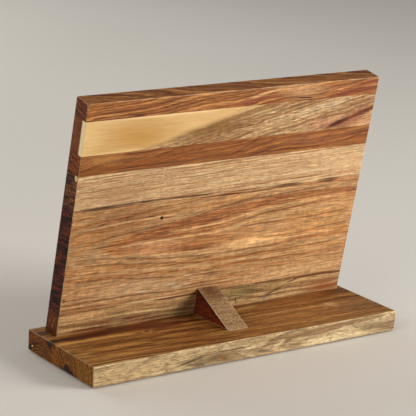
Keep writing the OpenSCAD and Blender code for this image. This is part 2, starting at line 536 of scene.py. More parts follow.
    def finish(self, end_tint, end_mottle, rays=0.0, end_rings=0.0, highlight_colour="#e6c193", highlight_share=0.5, rough=0.5,
               pale=0):
        """Darkens the end grain except where pale is 1, paints a highlight along the eased edges, and adds
        gloss and relief.
        """
        normal = self.add("NewGeometry").outputs["Normal"]
        upright = self.turned(normal, -self.lean)
        along, across, up = self.parts(self.vector("ABSOLUTE", upright))
        end = self.remap(along, 0.5, 0.92)
        plain = self.colour
        self.colour = self.mix(1.0, plain, rgb(end_tint), "MULTIPLY")
        self.shade(self.grain(30, 1.7, 131.0, 3, 0.7), 0.32, 0.68, end_mottle)
        if rays:
            tilted = self.turned(self.seeded, -0.2)
            lines = self.vector("MULTIPLY", tilted, (1 / 30, 1 / 22, 1 / 2.4))
            self.shade(self.noise(lines, 1.0, 3, 0.7), 0.36, 0.64, rays)
        if end_rings:
            self.shade(self.noise_line(self.pith_mm, 1 / 1.5, detail=3, rough=0.65), 0.35, 0.65, end_rings)
        self.colour = self.mix(self.times(end, self.minus(1, pale)), plain, self.colour)
        # Painted highlight: a pale tint along the eased edges, broken up by a noise, stands for the light the
        # rounded edges catch. The same mask makes these edges a little less rough.
        biggest = self.math("MAXIMUM", self.math("MAXIMUM", along, across), up)
        highlight_breakup = self.grain(11, 11, 91.0, 3)
        edge_highlight = self.times(self.remap(biggest, 0.99, 0.82), self.remap(highlight_breakup, 0.35, 0.62, 0.3, 1.0))
        edge_highlight = self.times(edge_highlight, self.minus(1, self.hollow))
        self.tint(self.times(edge_highlight, highlight_share), highlight_colour)
        threads = self.grain(16, 0.4, 101.0, 3, 0.6)
        roughness = self.remap(threads, 0.3, 0.7, rough - 0.07, rough + 0.07, "LINEAR")
        roughness = self.plus(roughness, self.times(self.pores, 0.15))
        roughness = self.plus(roughness, self.times(end, 0.12))
        roughness = self.minus(roughness, self.times(edge_highlight, 0.1))
        relief = self.minus(self.times(threads, 0.4), self.times(self.pores, 0.6))
        return self.surface(self.colour, roughness, relief, bump_mm=0.14, IOR=1.46, Specular_IOR_Level=0.25)


# ---------------------------------------------------------------- the woods


def back(x, s, depth=0.0):
    """A place in the panel: x along it, s up the slope, depth in from its back face."""
    return (x, -depth, s)


def on_top(x, y):
    """A place on the base's top."""
    return (x, y, BASE_TOP)


def on_rear(x, z):
    """A place on the base's rear face."""
    return (x, BASE_HIGH[1], z)


def wide_wood():
    """Golden brown, flat sawn: a long flame that opens towards -X."""
    wood = Wood("wood_wide", PANEL_TO_WORLD, 1)
    bends = ((120, 40, 1.0), (38, 8, 0.55), (26, 1.0, 0.32))
    wood.rings((31.5, 75.5), (0.052, -0.03), bends, level=-62, core=37)
    wood.bands(1.5, 1.4, 0.7, "#713f20", "#9d693b", "#ab8051", "#bb9062", "#cda878")
    wood.zones(back, [
        (88, 98, 64, 9, 15, "#7d4d29", 0.6), (110, 84, 60, 9, 18, "#96602f", 0.4),
        (-12, 98, 50, 9, 12, "#9a6538", 0.4), (-110, 66, 70, 12, 44, "#c08c54", 0.4),
        (-40, 60, 60, 9, 12, "#dcb27a", 0.6), (60, 69, 50, 9, 11, "#bd9166", 0.55),
        (72, 32, 80, 9, 15, "#c2a078", 0.5), (-90, 25, 90, 10, 11, "#d6ae7c", 0.5),
    ])
    flame = (
        (((142, 73.5), (100, 83.5), (60, 87.5), (38, 89), (22, 92), (5, 95.5), (-15, 99), (-65, 102),
          (-140, 105)), 1.3),
        (((70, 90), (38, 91), (15, 96), (-5, 98.5), (-22, 100.5), (-50, 104)), 1.0),
        (((142, 71), (98, 76), (60, 76.3), (17, 77), (-3, 78), (-23, 81.5), (-53, 86), (-100, 89),
          (-140, 91)), 1.3),
        (((-15, 74), (-35, 76.2), (-85, 76), (-115, 77), (-146, 81)), 1.3),
        (((60, 84), (10, 84), (-10, 88), (-40, 93), (-80, 94.5), (-146, 97)), 1.0),
        (((142, 67), (115, 66), (97, 63.5), (72, 60), (45, 56.5), (0, 54), (-60, 54), (-105, 56.5),
          (-146, 60)), 1.2),
        (((142, 62), (110, 59.5), (70, 54.8), (40, 51.5), (10, 48.5), (-60, 48), (-146, 50.5)), 1.1),
        (((142, 47), (98, 45), (60, 41), (28, 39.3)), 1.1),
        (((140, 28.5), (98, 27.5), (28, 26.2)), 1.0),
        (((-40, 64), (-80, 62), (-110, 64.5), (-146, 67)), 0.9),
    )
    for number, (places, half) in enumerate(flame):
        wood.line(places, half, ("#734320", "#7d4d28")[number % 2], 0.75)
    wood.lines([
        (((112, 70.5), (70, 68.5), (35, 67.3), (-8, 66.5), (-32, 65), (-60, 66)), 2.6, "#985f31", 0.45),
        (((40, 41.5), (0, 40.8), (-30, 42), (-60, 41), (-146, 41)), 1.8, "#8d5628", 0.55),
    ])
    for places in (
        ((110, 73.2), (70, 73.5), (20, 74.4), (-8, 76), (-40, 80.6), (-80, 84), (-146, 86.5)),
        ((60, 80.5), (20, 81), (-8, 83.5), (-45, 89.5), (-80, 91.8), (-146, 94)),
        ((30, 103), (0, 103.5), (-40, 106), (-80, 107)),
        ((80, 63), (40, 60.5), (-20, 58.5), (-80, 58.5), (-140, 63)),
        ((120, 55), (60, 49), (0, 44.8), (-80, 45), (-140, 45)), ((130, 92), (90, 94.5), (50, 96.5), (20, 100)),
    ):
        wood.line(places, 1.3, "#d6b07c", 0.45)
    wood.hairlines(0.25, 1.5)
    wood.fibres(0.4)
    wood.fibres(0.2, 8, 1.0)
    wood.curl(0.11)
    wood.speckle("#8a5730", 0.65)
    wood.mark(back(138, 21.5), back(100, 22), (4, 0.9), "#8a5730", 0.5)
    pale = ((58, 37, 14), (38, 32, 12), (22, 38, 9), (66, 29, 10), (30, 29, 10), (84, 39, 8), (20, 30, 6))
    for x, s, reach in pale:
        wood.mark(back(x + reach / 2, s), back(x - reach / 2, s + 0.5), (3, 0.8), "#d8c4a6", 0.6, past=3)
    wood.marks(back, [
        (92, 19.9, 14, 19.9, 3, 0.9, "#dcb98c", 0.8), (38, 108.4, -70, 107.4, 4, 1.2, "#52280f", 0.9),
        (148, 109.6, 70, 109.6, 4, 0.9, "#5a3016", 0.8), (-48, 108.9, -84, 108.9, 4, 1.6, "#532b13", 0.9),
        (-101, 108.6, -120, 108.9, 4, 1.6, "#532b13", 0.9),
    ], straight=True)
    wood.marks(back, [
        (96, 98.6, 84, 99.4, 3, 0.9, "#4c260f", 0.85, 2), (76, 97.4, 62, 96.6, 3, 0.8, "#54290f", 0.8, 2),
        (118, 94, 110, 95.5, 3, 0.9, "#54290f", 0.8, 2),
    ])
    wood.mark(back(56, 94.3), back(48, 93.8), (2.5, 0.9), "#7a2a10", 0.9, 1.5, ragged=False, straight=True)
    wood.mark(back(57.6, 94.5), back(56.4, 94.5), (3.5, 1.8), "#150803", 1.0, 1.3,
              ragged=False, soft=0.35, straight=True)
    wood.marks(back, [
        (141, 34, 139, 29, 2.5, 2.2, "#6f3f20", 0.7, 1), (-106, 74, -110, 70, 2.5, 1.2, "#9a5b2c", 0.7, 1),
    ])
    return wood.finish("#613018", 0.7, rays=1.6, end_rings=0.5, rough=0.5)


def bottom_wood():
    """Tan with reddish streaks, and grey-olive stain beside the brace."""
    wood = Wood("wood_bottom", PANEL_TO_WORLD, 6)
    wood.rings((-60, -34), (0.0, 0.012), ((70, 20, 1.3), (26, 5, 0.6), (26, 0.9, 0.3)))
    wood.bands(2.4, 1.3, 0.6, "#6f4323", "#966c44", "#a68155", "#b18e60", "#bd9e6d")
    wood.zones(back, [
        (125, 13, 40, 8, 7, "#c39a68", 0.6), (-38, 12, 30, 8, 11, "#7d6a42", 0.8),
        (-80, 14, 28, 8, 8, "#947a4c", 0.5),
    ])
    wood.marks(back, [
        (142, 15, 50, 15.5, 5, 3.2, "#bf9462", 0.6), (142, 10, 95, 9.5, 4, 0.9, "#6b3d1e", 0.8),
        (142, 6.6, 30, 5.2, 5, 2.7, "#6a3a1e", 0.85), (142, 1.2, 80, 2.2, 6, 2.2, "#673619", 0.85),
        (90, 2.5, 20, 2.5, 6, 1.6, "#5f2c14", 0.7),
    ])
    wood.hairlines(0.2, 1.4)
    wood.fibres(0.3)
    wood.curl(0.12, 2.5, 7)
    wood.speckle("#6c4526", 0.7)
    wood.marks(back, [
        (-62, 4, -84, 12, 4, 1.3, "#3f2c18", 0.9), (-82, 12, -100, 18, 4, 1.1, "#4c351e", 0.9),
    ], straight=True)
    wood.marks(back, [
        (-100, 9, -112, 13, 4, 0.8, "#4c351e", 0.6), (-20, 18, -60, 16, 4, 1.6, "#6e5833", 0.8),
        (-24, 12, -50, 9, 4, 1.0, "#a08a55", 0.7), (-40, 14, -62, 11, 4, 1.1, "#5d4a2c", 0.7),
        (-66, 8, -64, 1, 3, 2.4, "#74706a", 0.6, 2),
    ])
    wood.mark(back(-33, 8), back(-35, 2), (3, 1.2), "#38281a", 0.9, 1.5, straight=True)
    wood.zone(back(-130, 4), (32, 7, 8), "#8c4a22", 0.75)
    wood.marks(back, [
        (-100, 8, -146, 11, 5, 1.6, "#8c5430", 0.6), (-75, 12, -110, 15, 4, 1.0, "#cda87a", 0.6),
    ])
    wood.mark(back(142.4, 1, 10), back(142.4, 18, 4), (3, 1.9), "#ffdc98", 0.95, 1, straight=True)
    wood.mark(back(142.4, 1, 14), back(142.4, 15, 11), (2.5, 1.3), "#eebc7c", 0.8, 1, straight=True)
    return wood.finish("#865727", 0.9, end_rings=0.3, rough=0.5)


def tan_wood():
    """Pinkish tan with a fine fibre, and a dark line along its lower joint."""
    wood = Wood("wood_tan", PANEL_TO_WORLD, 2)
    wood.rings((-50, 20), (0.01, -0.035), ((110, 30, 1.2), (30, 6, 0.5), (22, 0.8, 0.3)))
    wood.bands(1.9, 1.2, 0.8, "#97693f", "#ae855b", "#bc986d", "#c5a57a", "#d2b58b")
    wood.hairlines(0.13, 1.3)
    wood.fibres(0.3, 15, 1.1)
    wood.curl(0.06)
    wood.zones(back, [
        (102, 121, 36, 8, 14, "#a0744c", 0.5), (66, 132, 40, 8, 10, "#bf9a72", 0.5),
        (-130, 125, 50, 9, 18, "#d8b184", 0.4),
    ])
    wood.speckle("#8f6440", 0.75, along=3.6, across=0.75, cover=0.555)
    flecks = wood.grain(3.0, 1.0, 151.0, 2, 0.7)
    beside = wood.remap(wood.within(back(68, 131), (44, 12, 13)), 1.0, 0.3)
    wood.tint(wood.times(wood.remap(flecks, 0.5, 0.64), wood.times(beside, 0.75)), "#7f573a")
    wood.marks(back, [
        (150, 110.2, 90, 111.2, 6, 1.5, "#3f2010", 0.95), (108, 111.0, 50, 111.6, 6, 1.4, "#40210f", 0.95),
        (66, 111.4, -5, 110.2, 6, 1.3, "#4c2812", 0.9), (5, 110.3, -60, 110.2, 5, 0.8, "#5e3419", 0.8),
        (-45, 110.3, -86, 110.4, 5, 1.0, "#4d2912", 0.85), (-98, 110.2, -122, 110.5, 5, 1.2, "#4d2912", 0.85),
    ], straight=True)
    wood.marks(back, [
        (-10, 124, -60, 126, 5, 2.0, "#d9bd92", 0.4), (-10, 137, -146, 136, 5, 1.2, "#d6b386", 0.5),
        (-60, 119, -130, 122, 5, 1.6, "#d8bb92", 0.45), (110, 115, 86, 116.5, 4, 0.8, "#7c4f2e", 0.6),
        (-20, 126, -90, 129, 4, 0.8, "#a5764c", 0.5), (-110, 114, -144, 115.5, 4, 1.0, "#a87449", 0.5),
    ])
    wood.mark(back(146, 113, 3.8), back(146, 139, 3.8), (4, 0.8), "#2a1208", 0.9, 1, straight=True)
    wood.mark(back(146, 111, 12), back(146, 114, 3), (4, 1.0), "#d09a60", 0.8, straight=True)
    patch = wood.remap(wood.within(back(143, 138, 2.6), (4, 2.4, 3.6)), 1.0, 0.75)
    wood.tint(patch, "#e2bf94")
    return wood.finish("#7d5947", 0.8, rays=1.4, end_rings=0.5, rough=0.52, pale=wood.times(patch, 0.85))


def brown_wood():
    """Orange brown, with reddish curls that rise towards -X."""
    wood = Wood("wood_brown", PANEL_TO_WORLD, 3)
    wood.rings((-42, 100), (0.05, -0.15), ((90, 24, 1.2), (30, 6, 0.6), (24, 0.9, 0.32)), sway=(1.2, 84, 12))
    wood.bands(2.2, 1.0, 0.8, "#5f2f10", "#784116", "#844d1d", "#905725", "#a1682f")
    wood.zones(back, [
        (120, 151, 34, 8, 8, "#a5743f", 0.55), (60, 148, 60, 8, 10, "#7f4316", 0.4),
        (-80, 150, 60, 8, 9, "#9c6238", 0.4),
    ])
    wood.hairlines(0.17, 1.4)
    wood.fibres(0.28)
    wood.speckle("#5c2f14", 0.65)
    wood.mark(back(142, 141.8), back(-20, 142.2), (6, 1.5), "#7a4a2a", 0.6)
    wood.marks(back, [
        (142, 143.2, 20, 143.6, 5, 0.7, "#451f0b", 0.8), (10, 143.4, -120, 143.0, 5, 0.8, "#552a10", 0.75),
        (-4, 144.5, -16, 150, 5, 1.0, "#672c10", 0.75, 3), (-14, 149.5, -31, 156, 5, 1.0, "#672a10", 0.75, 3),
        (-2, 148, -14, 155, 5, 0.8, "#7a401e", 0.75, 3), (-34, 148, -48, 156, 5, 1.1, "#743a1a", 0.75, 3),
        (-92, 146, -106, 154, 5, 1.1, "#743a1c", 0.75, 3),
        (-118, 144.5, -134, 148.5, 5, 1.1, "#6a2f14", 0.75, 3),
        (-130, 148.5, -148, 153.5, 5, 1.2, "#6a2f14", 0.75, 3), (40, 147, 22, 154, 5, 0.9, "#7c421f", 0.75, 3),
    ], straight=True)
    wood.marks(back, [
        (96, 148, 60, 156, 5, 1.0, "#a86a38", 0.5), (140, 148, 80, 154, 5, 1.1, "#a8713c", 0.5),
    ])
    return wood.finish("#d4b78f", 0.8, rays=0.5, end_rings=0.4, rough=0.5)


def sapwood():
    """Clear cream sapwood that gives way along a slant to curly tan heartwood."""
    wood = Wood("wood_sapwood", PANEL_TO_WORLD, 4)
    wood.rings((-80, 60), (0.08, -0.27), ((80, 22, 1.5), (26, 6, 0.9), (18, 1.1, 0.4)))
    slant = wood.plus(wood.times(wood.minus(wood.bent_x, 75), 0.082),
                      wood.times(wood.minus(wood.bent_z, 157), 0.297))
    level = wood.math("MAXIMUM", wood.math("MINIMUM", slant, 5.5), -20)
    past_edge = wood.plus(level, wood.parts(wood.at)[1])
    wood.bands(2.0, 1.1, 0.8, "#7a4f2a", "#946b40", "#a58056", "#b4936a", "#caad82")
    wood.zones(back, [
        (22, 170, 54, 9, 18, "#775224", 0.8), (-105, 163, 55, 9, 9, "#a97250", 0.6),
    ])
    wood.marks(back, [
        (-14, 158, -60, 172.5, 7, 4.2, "#b09166", 0.55), (-58, 172, -124, 184, 7, 4.2, "#c2a781", 0.65),
        (-70, 158, -146, 177, 6, 2.0, "#b98a62", 0.5), (-60, 180, -90, 186, 6, 1.6, "#95623c", 0.55),
        (-120, 178, -146, 184, 6, 1.4, "#8a5230", 0.6), (-92, 155, -150, 172.5, 6, 5.6, "#8f5133", 0.65),
    ])
    wood.mark(back(-97, 158.5), back(-124, 166.5), (6, 3.0), "#4a1405", 1.0,
              ragged=False, soft=0.6, straight=True)
    wood.mark(back(-117, 164.5), back(-152, 175.5), (6, 3.6), "#63290f", 1.0, ragged=False, straight=True)
    wood.marks(back, [
        (-84, 158, -100, 163, 6, 0.9, "#7a3f22", 0.8), (-70, 166, -146, 182, 6, 1.0, "#7c4a2c", 0.7),
        (-30, 176, -90, 186, 6, 0.9, "#7d5634", 0.7), (-112, 167, -148, 180, 6, 2.4, "#955a3c", 0.6),
    ])
    wood.zones(back, [
        (-136, 180, 26, 7, 5, "#8f6240", 0.5), (-140, 160.5, 14, 7, 4, "#c08e68", 0.7),
    ])
    wood.hairlines(0.19, 1.5)
    wood.fibres(0.3, 12, 1.3)
    wood.curl(0.15, 3.2, 7)
    wood.speckle("#7c5532", 0.7)
    heart = wood.colour
    cloud = wood.grain(40, 10, 61.0, 2)
    wood.colour = wood.mix(wood.remap(cloud, 0.35, 0.65), rgb("#cea76d"), rgb("#d5b07a"))
    wood.zone(back(92, 169), (56, 11, 24), "#b88a48", 0.8)
    wood.mark(back(140, 185.6), back(-10, 185.6), (5, 2.2), "#e4c48e", 0.8, ragged=False, straight=True)
    wood.zone(back(150, 172), (30, 9, 30), "#dcb97c", 0.8)
    wood.mark(back(140, 157.5), back(60, 157.5), (5, 2.5), "#dab982", 0.6, ragged=False, straight=True)
    wood.fibres(0.08, 22, 1.2)
    wood.tint(wood.remap(wood.parts(wood.at)[0], 141.4, 142.2), "#f2dcb0")
    olive = wood.remap(past_edge, -5.0, 0.6, 0, 0.3)
    heart = wood.mix(olive, heart, rgb("#80592a"))
    clear = wood.remap(past_edge, -0.2, 1.9)
    wood.colour = wood.mix(clear, heart, wood.colour)
    return wood.finish("#b48268", 0.6, end_rings=0.3, rough=0.48, pale=clear)


def top_wood():
    """Reddish orange brown with a pale streak and a dark one."""
    wood = Wood("wood_top", PANEL_TO_WORLD, 5)
    wood.rings((-46, 120), (0.03, -0.12), ((80, 20, 1.6), (28, 5, 0.6), (24, 0.9, 0.3)), sway=(0.8, 90, 20))
    wood.bands(2.2, 1.5, 0.6, "#643314", "#824c1f", "#925929", "#9c6532", "#b27b45")
    wood.zones(back, [
        (-66, 195, 36, 8, 9, "#c39566", 0.7), (96, 193, 36, 8, 9, "#9a602c", 0.4),
    ])
    wood.zone(back(20, 204, 9), (140, 12, 4), "#7c4830", 0.6)
    wood.zone(back(-124, 195), (42, 8, 9), "#7b3e1e", 0.5)
    wood.marks(back, [
        (8, 187, -60, 200, 6, 2.0, "#cf9f6e", 0.6), (142, 188.5, 58, 196, 6, 1.0, "#6a3416", 0.7),
        (120, 187, 80, 189, 5, 0.9, "#56280f", 0.7), (100, 186.8, 88, 187.4, 5, 0.9, "#43200f", 0.85, 3),
        (30, 198.5, -28, 200, 5, 1.0, "#8c4f28", 0.5), (12, 188, -34, 190.5, 6, 2.6, "#7f3a1e", 0.75),
        (-84, 187, -150, 191, 6, 3.6, "#7c3819", 0.85), (-108, 194, -150, 198.5, 6, 1.6, "#733316", 0.85),
        (-90, 191.5, -124, 196.5, 6, 1.2, "#c38a58", 0.6),
    ])
    wood.hairlines(0.17, 1.4)
    wood.fibres(0.32)
    wood.speckle("#5e3014", 0.7)
    wood.mark(back(-58, 189.3), back(-77, 187.4), (3, 0.9), "#241006", 1.0, 3,
              ragged=False, soft=0.6, straight=True)
    wood.mark(back(-46, 189.6), back(-58, 189.4), (3, 0.4), "#6c5238", 0.85, 3)
    return wood.finish("#b39184", 0.8, end_rings=0.35, rough=0.48)


def base_front_wood():
    """Dark golden brown, with a reddish stripe and a pale one beside it."""
    wood = Wood("wood_base_front", BASE_TO_WORLD, 7)
    wood.rings((-24, -14), (-0.053, 0.0), ((90, 22, 1.6), (28, 6, 0.6), (24, 0.9, 0.28)))
    wood.bands(2.6, 1.35, 0.7, "#5e3412", "#7d4f22", "#8d5c28", "#9b6a33", "#b0803f")
    # The dark patch round (52, -4), on the brace's +X side, is painted shadow of the brace over the wood's own
    # darker stripe.
    wood.zones(on_top, [
        (-80, -6, 80, 26, 12, "#956230", 0.6), (-100, -16, 60, 8, 12, "#9e6026", 0.5),
        (95, -16, 105, 10, 12, "#521f06", 0.95), (52, -4, 36, 9, 12, "#633011", 0.65),
    ])
    wood.marks(on_top, [
        (158, -16, 90, -13, 7, 9, "#491805", 0.95), (95, -12.5, 8, -8, 6.5, 8, "#602a10", 0.85),
        (150, -21.5, 118, -21, 1.8, 5, "#94602c", 0.6), (-150, -14, -126, -14, 7, 12, "#71421d", 0.6),
    ])
    wood.hairlines(0.2, 1.5)
    wood.fibres(0.4)
    wood.speckle("#4c280e", 0.65)
    wood.line(((160, -5.0), (120, -3.2), (95, -1.9), (76, -1.6)), 3.1, "#cf9856", 0.9, side=1)
    wood.mark(on_top(76, -0.6), on_top(64, -0.6), (4.4, 5), "#bd8446", 0.65, 3, ragged=False)
    wood.mark(on_top(71.5, -2.2), on_top(67.5, -2.2), (2.2, 5), "#2a1005", 1.0, 2, ragged=False, straight=True)
    wood.line(((66, 2), (40, 4), (24, 5.4), (8, 6.6)), 2.2, "#c68d4b", 0.8, side=1)
    wood.mark(on_top(-30, -14), on_top(-52, -16), (3.5, 5), "#b9935c", 0.6)
    wood.lines([
        (((-28, -10.5), (-70, -9), (-120, -7.5), (-150, -8)), 1.4, "#6f3d1a", 0.7),
        (((-28, 1.5), (-70, 2.5), (-110, 4.5)), 1.2, "#6f421c", 0.5),
    ], side=1)
    wood.mark((180, -16, 20), (125, -15, 20), (6.5, 9), "#2e1206", 1.0)
    wood.zone((153, -40, 6), (12, 12, 9), "#6f4420", 0.4)
    wood.mark((153, -44.5, 5.0), (153, -31, 14.0), (3.5, 1.2), "#6a1c0c", 0.95, 1.5,
              ragged=False, straight=True)
    wood.mark((153, -47.5, 3.2), (153, -39, 8.6), (4, 2.2), "#120703", 1.0, 0.8,
              ragged=False, soft=0.5, straight=True)
    # Painted glint: the near-white fleck inside the dark hole in the end.
    wood.mark((153, -45, 5.0), (153, -42, 7.0), (3.5, 1.1), "#fbeed2", 1.0, 0.5,
              ragged=False, soft=0.4, straight=True)
    wood.zone((153, -6, 8), (14, 12, 12), "#c08a44", 0.5)
    # The eased edges get a faint painted highlight.
    return wood.finish("#c6aa54", 0.85, end_rings=0.9, highlight_colour="#c09258", highlight_share=0.3, rough=0.5)


def base_rear_wood():
    """Dark golden brown on top, with a red heart, and a strip of pale sapwood along the rear edge."""
    wood = Wood("wood_base_rear", BASE_TO_WORLD, 8)
    wood.rings((19, 5), (-0.053, 0.0), ((90, 24, 2.0), (30, 7, 0.8), (24, 0.9, 0.3)))
    wood.bands(2.6, 1.45, 0.7, "#5f3611", "#825425", "#94632d", "#a37139", "#bd8e4e")
    wood.zones(on_top, [
        (-75, 24, 95, 34, 9, "#ab7947", 0.55), (116, 8, 46, 6, 9, "#744318", 0.6),
        (112, 18.5, 44, 5, 9, "#c99249", 0.8), (126, 29.5, 30, 4.5, 9, "#835022", 0.6),
        (122, 36, 36, 6.5, 10, "#c9924e", 0.75), (70, 44, 40, 8, 10, "#7e4c22", 0.4),
        (-132, 22, 34, 22, 9, "#9a7144", 0.5), (48, 28, 36, 20, 9, "#7f4d20", 0.4),
        (-40, 40, 30, 8, 9, "#8f5d2c", 0.6),
    ])
    wood.lines([
        (((153, 12.2), (110, 12.6), (94, 11.5), (80, 13)), 1.6, "#6e3e1c", 0.7),
        (((153, 24.2), (104, 24.5), (80, 27.5), (62, 32), (40, 37), (0, 43)), 2.4, "#643312", 0.95),
        (((94, 14.5), (78, 17.5), (60, 21), (40, 24)), 1.4, "#7c4a22", 0.5),
    ], side=1)
    wood.mark(on_top(70, 7.5), on_top(10, 11), (3.6, 6), "#592309", 0.9)
    wood.lines([
        (((100, 17), (84, 20.5), (66, 24), (40, 28)), 1.9, "#bd8843", 0.65),
        (((66, 14), (40, 17), (14, 19.5)), 1.5, "#b27b3a", 0.6),
        (((140, 31), (100, 32.5), (70, 38), (40, 42)), 1.6, "#b98544", 0.5),
        (((-16, 6.4), (-60, 7.6), (-100, 10), (-128, 11)), 1.8, "#c6935a", 0.75),
        (((-16, 11.5), (-60, 12.2), (-100, 14), (-146, 15)), 1.3, "#764620", 0.6),
        (((-25, 33.2), (-58, 34.5), (-76, 38.6), (-94, 35), (-122, 33.8)), 1.7, "#c4904f", 0.75),
        (((-40, 37.5), (-62, 39), (-80, 43), (-100, 39.5), (-130, 38)), 1.3, "#71421d", 0.6),
        (((0, 26), (-50, 25.5), (-100, 27.5), (-148, 27)), 1.2, "#7a4922", 0.55),
        (((0, 20), (-50, 18.5), (-90, 20)), 1.2, "#bb8747", 0.5),
    ], side=1)
    wood.marks(on_top, [
        (-104, 8.5, -118, 9, 6.5, 5, "#cda673", 0.8, 3), (-106, 12, -119, 15, 4, 5, "#cda673", 0.55, 3),
    ], ragged=False, soft=0.9, straight=True)
    wood.mark(on_top(-98, 18), on_top(-106, 14), (2.5, 5), "#c19664", 0.6, 3)
    wood.hairlines(0.2, 1.5)
    wood.fibres(0.4)
    wood.speckle("#4c280e", 0.65)
    heart = wood.colour
    wood.bands(1.7, 1.3, 0.9, "#7b6243", "#9d815a", "#b0956d", "#bfa57c", "#d3bc92")
    wood.zones(on_rear, [
        (118, 9, 60, 6, 12, "#bfa174", 0.9), (-92, 2.5, 66, 6, 4.5, "#d9c496", 0.8),
        (-75, 8.5, 40, 6, 3, "#a58660", 0.6), (-128, 8.5, 40, 6, 4, "#8a7552", 0.7),
        (-60, 14, 100, 6, 5, "#85633e", 0.75), (36, 7, 38, 6, 8, "#765c3e", 0.8),
        (-18, 4, 34, 6, 5, "#cdae80", 0.6),
    ])
    wood.marks(on_rear, [
        (76, 5.5, 44, 12, 4, 1.3, "#54402c", 0.9), (46, 11.5, 2, 10.5, 4, 1.1, "#634729", 0.85),
        (64, 5.5, 46, 4.5, 4, 2.2, "#77614a", 0.85), (34, 7.5, 26, 4, 4, 2.2, "#85572a", 0.85, 4),
        (-2, 5.5, -24, 3.5, 4, 2.0, "#72604e", 0.85, 3), (-20, 13, -60, 13.8, 5, 1.0, "#7d5c38", 0.7),
        (-60, 10.5, -100, 11, 4, 1.3, "#836341", 0.8), (-96, 10, -152, 12.4, 4, 1.6, "#8f8064", 0.75),
        (-50, 15.8, -90, 16.4, 4, 1.4, "#c09c6a", 0.6),
    ])
    wood.fibres(0.26, 12, 0.9)
    wood.speckle("#6c5030", 0.65, along=4, across=0.9, cover=0.53)
    wood.shade(wood.grain(9, 1.6, 211.0, 3, 0.7), 0.32, 0.68, 0.15)
    wood.mark(on_rear(-149, 3.5), on_rear(-151, 3.6), (3, 1.1), "#8c2a14", 0.9, 1, ragged=False, straight=True)
    sap = wood.remap(wood.plus(wood.parts(wood.at)[1], wood.times(wood.ragged, 0.8)), 48.6, 49.5)
    wood.colour = wood.mix(sap, heart, wood.colour)
    wood.mark((158, 11, 0), (142, 11, 0), (7, 10.5), "#1e0803", 1.0, 3, soft=0.3, straight=True)
    wood.mark((158, 17, 0), (142, 17, 0), (7, 6.5), "#2a0d04", 0.95, 3, soft=0.4, straight=True)
    wood.zone((153, 13, 15), (20, 9, 6), "#7d4f22", 0.5)
    wood.zone((153, 37, 8), (16, 15, 14), "#966e3e", 0.8)
    # The eased edges get a faint painted highlight.
    return wood.finish("#d9c478", 0.45, end_rings=0.4, highlight_colour="#cfa875", highlight_share=0.3, rough=0.5)


def brace_wood():
    """Greyish tan on its long grain, and dark reddish end grain on both sides."""
    low, high = cad_box("wedge_brace")
    slope = math.atan2(high[2] - low[2], high[1] - low[1] - (high[2] - low[2]) * math.tan(LEAN))
    frame_of_slope = Matrix.Translation((0, high[1], low[2])) @ Matrix.Rotation(-slope, 4, "X")
    wood = Wood("wood_brace", frame_of_slope, 9)
    wood.rings((14, -40), (0.0, 0.02), ((60, 16, 1.2), (20, 5, 0.5), (20, 0.9, 0.3)))
    wood.bands(2.0, 0.7, 1.0, "#785a3c", "#917250", "#9c7d5a", "#a78964", "#b69a76")
    wood.zone((0, -47, 0), (18, 20, 9), "#6b4222", 0.95)
    wood.zone((9, -20, 0), (4, 30, 5), "#86623f", 0.5)
    wood.fibres(0.42, 3.2, 1.2)
    wood.speckle("#553a23", 0.85, along=1.9, across=0.9, cover=0.53)
    wood.zone((10, -14, -6), (4, 20, 9), "#b9794a", 0.6)
    # The brace's eased edges get a strong, near-white painted highlight.
    return wood.finish("#a85a3a", 0.7, rays=0.4, end_rings=0.4, highlight_colour="#ffe9bd", highlight_share=0.9, rough=0.52)


def steel():
    """Zinc plated steel, turned, with a little tarnish."""
    graph = Graph("screw_zinc")
    at = graph.object_mm()
    cloud = graph.noise(at, 0.7, 3)
    grit = graph.noise(at, 9.0, 2)
    colour = graph.ramp(cloud, (0.35, rgb("#a99a72")), (0.55, rgb("#bfb08a")), (0.7, rgb("#c9c0a6")))
    colour = graph.mix(graph.remap(grit, 0.6, 0.72, 0, 0.4), colour, rgb("#6f6650"))
    turned = graph.noise(graph.vector("MULTIPLY", at, (1.5, 1.5, 14)), 1.0, 2)
    return graph.surface(colour, graph.remap(cloud, 0.3, 0.7, 0.28, 0.46), turned, 0.02, Metallic=1.0)


def rubber():
    """Matt black rubber with a little dust."""
    graph = Graph("foot_rubber")
    at = graph.object_mm()
    cloud = graph.noise(at, 0.5, 3)
    skin = graph.noise(at, 6.0, 2)
    colour = graph.ramp(cloud, (0.35, rgb("#1c1b1a")), (0.6, rgb("#262423")), (0.75, rgb("#34312e")))
    colour = graph.mix(graph.remap(skin, 0.58, 0.7, 0, 0.3), colour, rgb("#57514a"))
    return graph.surface(colour, graph.remap(cloud, 0.3, 0.7, 0.62, 0.8), skin, 0.05)


# ---------------------------------------------------------------- staves and boards

SCREW_COUNT = 3
HEAD_R = 4.0
HEAD_RIM = 0.3
SCREW_R = 2.0
NECK_R = SCREW_R * 0.8
RECESS_HALF = (2.4, 0.45, 1.3)
RECESS_ANGLE = 27
RECESS_MIDDLE = 0.3
ROOT_R = 1.4
HOLE_GAP = 0.25
THREAD_PITCH = 2.0


def screw_places():
    """(x, y, head z, length) of every screw, from the CAD boxes."""
    low, high = cad_box("panel_screws")
    places = [(x, (low[1] + high[1]) / 2, low[2], high[2] - low[2])
              for x in np.linspace(low[0] + HEAD_R, high[0] - HEAD_R, SCREW_COUNT)]
    low, high = cad_box("wedge_screw")
    return places, [((low[0] + high[0]) / 2, (low[1] + high[1]) / 2, low[2], high[2] - low[2])]


PANEL_SCREWS, WEDGE_SCREW = screw_places()


def pilots(screws):
    """Cutters for the holes that the threads sit in."""
    return [cylinder("pilot", x, y, z - 1, z + length, SCREW_R + 0.02, SCREW_R + 0.02, 24)
            for x, y, z, length in screws]


